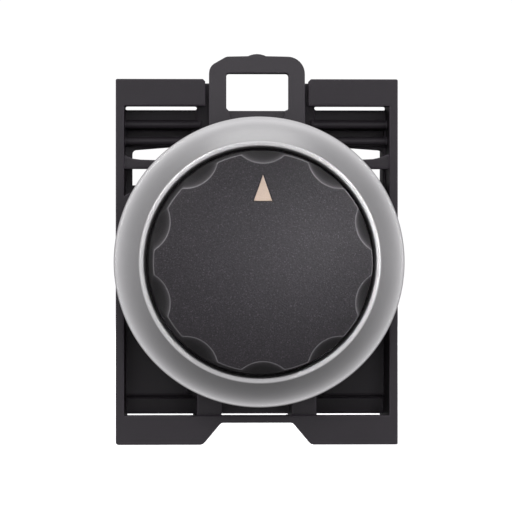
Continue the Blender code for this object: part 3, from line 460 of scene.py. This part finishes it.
def make_knob(materials):
    """The scalloped knob: a hollow skirt, a hub with a square socket, and the marker's pocket."""
    look = materials["knob_black"]
    slope = (KNOB_SKIRT_R - KNOB_FACE_R) / (KNOB_SKIRT_Y - KNOB_FACE_Y)
    outside = []
    for k in range(RIM_STEPS + 1):
        a = math.radians(90.0 * k / RIM_STEPS)
        inset = RIM_ROUND * (1 - math.sin(a))
        outside.append((inset, KNOB_FACE_Y + RIM_ROUND * (1 - math.cos(a))))
    height = KNOB_SKIRT_Y - KNOB_FACE_Y - RIM_ROUND
    sides = [KNOB_FACE_Y + RIM_ROUND + height * k / KNOB_SIDE_STEPS
             for k in range(1, KNOB_SIDE_STEPS + 1)]
    outside += [(0.0, y) for y in sides]
    outside += [(0.0, -4.0), (0.0, KNOB_BASE_Y - KNOB_BASE_CHAMFER),
                (KNOB_BASE_CHAMFER, KNOB_BASE_Y)]
    angles = [360.0 * k / KNOB_STEPS for k in range(KNOB_STEPS)]
    bm = bmesh.new()
    rings = [[bm.verts.new((0.0, KNOB_FACE_Y, 0.0))]]
    for share in (0.35, 0.7, 0.9):
        rings.append([bm.verts.new(polar(share * (KNOB_FACE_R - SCALLOP_DEPTH), a, KNOB_FACE_Y))
                      for a in angles])
    for inset, y in outside:
        plain = KNOB_FACE_R + slope * (min(y, KNOB_SKIRT_Y) - KNOB_FACE_Y)
        rings.append([bm.verts.new(polar(scalloped(plain - inset, a, y, inset), a, y))
                      for a in angles])
    for radius, y in [(KNOB_BASE_R, KNOB_BASE_Y), (KNOB_ROOF_R, KNOB_ROOF_Y),
                      (KNOB_HUB_R, KNOB_ROOF_Y), (KNOB_HUB_R, KNOB_HUB_END_Y - 0.1),
                      (KNOB_HUB_R - 0.1, KNOB_HUB_END_Y), (3.1, KNOB_HUB_END_Y)]:
        rings.append([bm.verts.new(polar(radius, a, y)) for a in angles])
    rings.append([bm.verts.new((0.0, KNOB_HUB_END_Y, 0.0))])
    for first, second in zip(rings, rings[1:]):
        join_rings(bm, first, second)
    knob = mesh_object("knob_scalloped", bm, look)
    cut_with(knob, prism("cutter_marker", marker_outline(0.05), KNOB_FACE_Y - 1.0,
                         KNOB_FACE_Y + MARKER_THICKNESS + 0.1, look))
    h, pilot_back_y = SOCKET_HALF, SOCKET_FRONT_Y + 0.1
    cut_with(knob, prism("cutter_socket", [(-h, -h), (h, -h), (h, h), (-h, h)], SOCKET_FRONT_Y,
                         KNOB_HUB_END_Y + 1.0, look))
    cut_with(knob, lathe("cutter_pilot", [(0, PILOT_FRONT_Y), (PILOT_R, PILOT_FRONT_Y),
                                          (PILOT_R, pilot_back_y), (0, pilot_back_y)], look, 48))
    stands_for(knob, "knob", "knob")


def marker_outline(grow=0.0):
    """The triangle's corners; grow widens it into the pocket it sits in."""
    half = MARKER_HALF_WIDTH + grow
    base = MARKER_BASE_Z - grow
    return [(-half, base), (half, base), (0.0, MARKER_TIP_Z + 2 * grow)]


def prism(name, outline, front, back, material):
    """Extrudes a closed outline of (x, z) points along Y."""
    bm = bmesh.new()
    ends = [[bm.verts.new((x, y, z)) for x, z in outline] for y in (front, back)]
    bm.faces.new(ends[0])
    bm.faces.new(ends[1])
    join_rings(bm, *ends)
    return mesh_object(name, bm, material)


def make_marker(materials):
    marker = prism("marker_triangle", marker_outline(), KNOB_FACE_Y,
                   KNOB_FACE_Y + MARKER_THICKNESS, materials["marker_cream"])
    bevel = marker.modifiers.new("edges", "BEVEL")
    bevel.width = MARKER_BEVEL * MM
    bevel.segments = 3
    stands_for(marker, "arrow_marker", "knob")


# ---------------------------------------------------------------- bezel


def make_bezel(materials):
    """A concave flare from the rim in to a round lip, with a seat for the head body behind it."""
    rim_r = BEZEL_EDGE_R - BEZEL_RIM_ROUND
    rim_y = BEZEL_RIM_Y - BEZEL_RIM_ROUND
    steps = 32
    flare = []
    for k in range(1, steps + 1):
        t = k / steps
        flare.append((rim_r + (BEZEL_LIP_R - rim_r) * t,
                      rim_y + (BEZEL_CREST_Y - rim_y) * t ** FLARE_CURVE))
    seat_front, seat_back = BEZEL_SEAT_Y
    profile = [
        (BEZEL_SKIRT_R, BEZEL_BACK_Y), (BEZEL_EDGE_R - 0.1, BEZEL_BACK_Y),
        (BEZEL_EDGE_R, BEZEL_BACK_Y - 0.1),
        *arc((rim_r, BEZEL_RIM_Y), BEZEL_RIM_ROUND, 0, -90, 8), *flare,
        *arc((BEZEL_LIP_R - 0.25, BEZEL_LIP_Y + 0.25), 0.25, -30, -90, 8),
        *arc((BEZEL_BORE_R + BEZEL_LIP_ROUND, BEZEL_LIP_Y + BEZEL_LIP_ROUND), BEZEL_LIP_ROUND,
             -90, -180, 10),
        (BEZEL_BORE_R, seat_front), (BEZEL_SEAT_R, seat_front), (BEZEL_SEAT_R, seat_back),
        (BEZEL_SKIRT_R, seat_back),
    ]
    bezel = lathe("bezel_flared", profile, materials["bezel_silver"], 288)
    stands_for(bezel, "bezel_ring", "switch_body")


# ---------------------------------------------------------------- seals and springs


def make_seals(materials):
    seal = lathe("shaft_seal_round", arc((SEAL_R, SEAL_Y), SEAL_SECTION_R, 0, 345, 23),
                 materials["seal_rubber"], 96)
    stands_for(seal, "shaft_seal", "knob")


def make_springs(materials):
    steel = materials["spring_steel"]
    # node, body, mean radius, wire radius, length, turns, origin, axis, joint, fixed end, travel
    makes = [
        ("tappet_spring", "switch_body", 5.6, 0.22, 5.4, 4.0, (0, 12.25, 0), "Y",
         "tappet_push", 17.65, 3.2),
        ("plunger_spring", "switch_body", 1.7, 0.2, 9.9, 6.0, (0, 35.35, 0), "Y",
         "plunger_push", 45.25, 3.2),
        ("bridge_spring", "plunger", 1.25, 0.17, 6.1, 4.5, (0, 26.35, 0), "Y",
         "bridge_travel", 26.35, 0.3),
        ("latch_spring", "switch_body", 0.8, 0.13, 2.05, 3.0, (0, 8.95, 11.5), "Z",
         "latch_lift", 13.55, 1.2),
    ]
    for node, body, mean_r, wire_r, length, turns, origin, along, joint, fixed, travel in makes:
        piece = spring(node + "_wire", mean_r, wire_r, length, turns, steel, origin, along)
        stands_for(piece, node, body)
        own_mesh(piece)


# ---------------------------------------------------------------- CAD nodes that stay

DRESSED = {
    "adapter_frame": "adapter_black",
    "latch_slider": "latch_black",
    "head_body": "moulded_black",
    "panel_gasket": "seal_rubber",
    "rotor": "rotor_white",
    "knob_screw": "zinc_steel",
    "detent_spring": "spring_steel",
    "tappet": "tappet_grey",
    "rear_cap": "moulded_black",
    "clamp_screw_left": "zinc_steel",
    "clamp_screw_right": "zinc_steel",
    "contact_housing": "moulded_black",
    "contact_cover": "cover_grey",
    "contact_plunger": "plunger_green",
    "contact_bridge": "brass",
    "moving_tip_upper": "contact_silver",
    "moving_tip_lower": "contact_silver",
    "fixed_tip_upper": "contact_silver",
    "fixed_tip_lower": "contact_silver",
    "fixed_contact_upper": "brass",
    "fixed_contact_lower": "brass",
    "terminal_screw_upper": "zinc_steel",
    "terminal_screw_lower": "zinc_steel",
    "clamp_plate_upper": "zinc_steel",
    "clamp_plate_lower": "zinc_steel",
}


# ---------------------------------------------------------------- stage, light and camera


def stage_object(name, bm, material):
    """Links a bmesh written in metres as a piece of the stage."""
    mesh = bpy.data.meshes.new(name)
    bm.to_mesh(mesh)
    bm.free()
    mesh.materials.append(material)
    made = bpy.data.objects.new(name, mesh)
    bpy.context.scene.collection.objects.link(made)
    return made


def make_stage():
    """A pale floor below the object and a plain white backdrop that casts no light."""
    pale, tree, shader = new_material("stage_floor")
    link(tree, ramp(tree, object_noise(tree, 60.0), [(0.3, (0.90,) * 3), (0.7, (0.93,) * 3)]),
         shader.inputs["Base Color"])
    shader.inputs["Roughness"].default_value = 0.9
    shader.inputs["Specular IOR Level"].default_value = 0.1
    shader.inputs["Emission Color"].default_value = (1.0, 1.0, 1.0, 1.0)
    shader.inputs["Emission Strength"].default_value = 0.55
    bm = bmesh.new()
    bmesh.ops.create_circle(bm, cap_ends=True, segments=96, radius=FLOOR_RADIUS)
    bmesh.ops.translate(bm, vec=Vector((0, 0, FLOOR_Z * MM)), verts=bm.verts)
    floor = stage_object("floor", bm, pale)
    floor.visible_glossy = False
    floor.visible_diffuse = False

    glow, _, shader = new_material("stage_backdrop")
    shader.inputs["Base Color"].default_value = (0.0, 0.0, 0.0, 1.0)
    shader.inputs["Emission Color"].default_value = (1.0, 1.0, 1.0, 1.0)
    shader.inputs["Emission Strength"].default_value = 1.0
    bm = bmesh.new()
    bmesh.ops.create_uvsphere(bm, u_segments=48, v_segments=24, radius=BACKDROP_RADIUS)
    dome = stage_object("backdrop", bm, glow)
    for ray in ("visible_diffuse", "visible_glossy", "visible_transmission", "visible_shadow"):
        setattr(dome, ray, False)


def make_world():
    """A soft grey room, brightest in front and above, with dark flags at the upper sides."""
    world = bpy.data.worlds.new("soft_room")
    bpy.context.scene.world = world
    world.use_nodes = True
    tree = world.node_tree
    place = tree.nodes.new("ShaderNodeTexCoord")
    towards = tree.nodes.new("ShaderNodeVectorMath")
    towards.operation = "DOT_PRODUCT"
    towards.inputs[1].default_value = ROOM_BRIGHT_SIDE
    link(tree, place.outputs["Generated"], towards.inputs[0])
    parts = tree.nodes.new("ShaderNodeSeparateXYZ")
    link(tree, place.outputs["Generated"], parts.inputs["Vector"])
    aside = math_node(tree, "ABSOLUTE", parts.outputs["X"])
    upwards = math_node(tree, "MAXIMUM", parts.outputs["Z"], 0.0)
    flags = math_node(tree, "MULTIPLY", math_node(tree, "MULTIPLY", aside, upwards),
                      FLAG_STRENGTH)
    open_sky = math_node(tree, "SUBTRACT", towards.outputs["Value"], flags)
    level = spread(tree, open_sky, 0.0, 1.0, -0.5, 0.5)
    tone = ramp(tree, level, [(0.0, ROOM_DARK), (1.0, ROOM_BRIGHT)])
    background = tree.nodes["Background"]
    link(tree, tone, background.inputs["Color"])
    background.inputs["Strength"].default_value = 1.0


def area_light(name, place, size, power, glossy=True):
    """A softbox aimed at the origin; one that isn't glossy is not seen in reflections."""
    data = bpy.data.lights.new(name, "AREA")
    data.shape = "RECTANGLE"
    data.size, data.size_y = size
    data.energy = power
    lamp = bpy.data.objects.new(name, data)
    lamp.location = place
    lamp.rotation_euler = (-Vector(place)).to_track_quat("-Z", "Y").to_euler()
    lamp.visible_camera = False
    lamp.visible_glossy = glossy
    bpy.context.scene.collection.objects.link(lamp)


def spot_light(name, place, target, reach, power):
    """A soft-edged spot whose light fades to nothing at reach from its target."""
    place, target = Vector(place), Vector(target)
    data = bpy.data.lights.new(name, "SPOT")
    data.energy = power
    data.spot_size = 2 * math.atan(reach / (place - target).length)
    data.spot_blend = 1.0
    data.shadow_soft_size = 0.006
    lamp = bpy.data.objects.new(name, data)
    lamp.location = place
    lamp.rotation_euler = (target - place).to_track_quat("-Z", "Y").to_euler()
    bpy.context.scene.collection.objects.link(lamp)


def make_lights():
    """Softboxes above and around, and two narrow spots on the knob's face."""
    area_light("softbox_top", (0.0, -0.5, 0.6), (0.8, 0.6), 0.25)
    area_light("softbox_back", (0.0, 0.5, 0.9), (0.7, 0.7), 0.6)
    area_light("fill_rear", (0.35, 0.8, 0.3), (0.5, 0.5), 3.0, glossy=False)
    area_light("fill_side", (0.8, 0.1, 0.3), (0.5, 0.5), 1.2, glossy=False)
    area_light("fill_front", (0.0, -0.24, 0.055), (0.12, 0.12), 0.29, glossy=False)
    spot_light("spot_right", (0.07, -0.19, 0.06), (0.0058, -0.015, 0.0025), 0.0092, 2.3)
    spot_light("spot_upper_left", (-0.06, -0.19, 0.09), (-0.0056, -0.015, 0.0035), 0.011, 1.15)


def make_camera():
    """Level, straight in front of the switch and very slightly to the left."""
    target = Vector(CAMERA_TARGET)
    towards = Vector((-math.sin(CAMERA_AZIMUTH), -math.cos(CAMERA_AZIMUTH), 0.0))
    place = target + towards * CAMERA_DISTANCE
    data = bpy.data.cameras.new("camera")
    data.lens, data.sensor_width = LENS_MM, SENSOR_MM
    data.clip_start, data.clip_end = 0.01, 20.0
    camera = bpy.data.objects.new("camera", data)
    camera.location = place * MM
    camera.rotation_euler = (target - place).to_track_quat("-Z", "Y").to_euler()
    bpy.context.scene.collection.objects.link(camera)
    bpy.context.scene.camera = camera
    bpy.context.scene.view_settings.view_transform = "Standard"


materials = make_materials()
make_knob(materials)
make_marker(materials)
make_bezel(materials)
make_seals(materials)
make_springs(materials)
for node, look in DRESSED.items():
    dress(node, materials[look])
make_stage()
make_world()
make_lights()
make_camera()
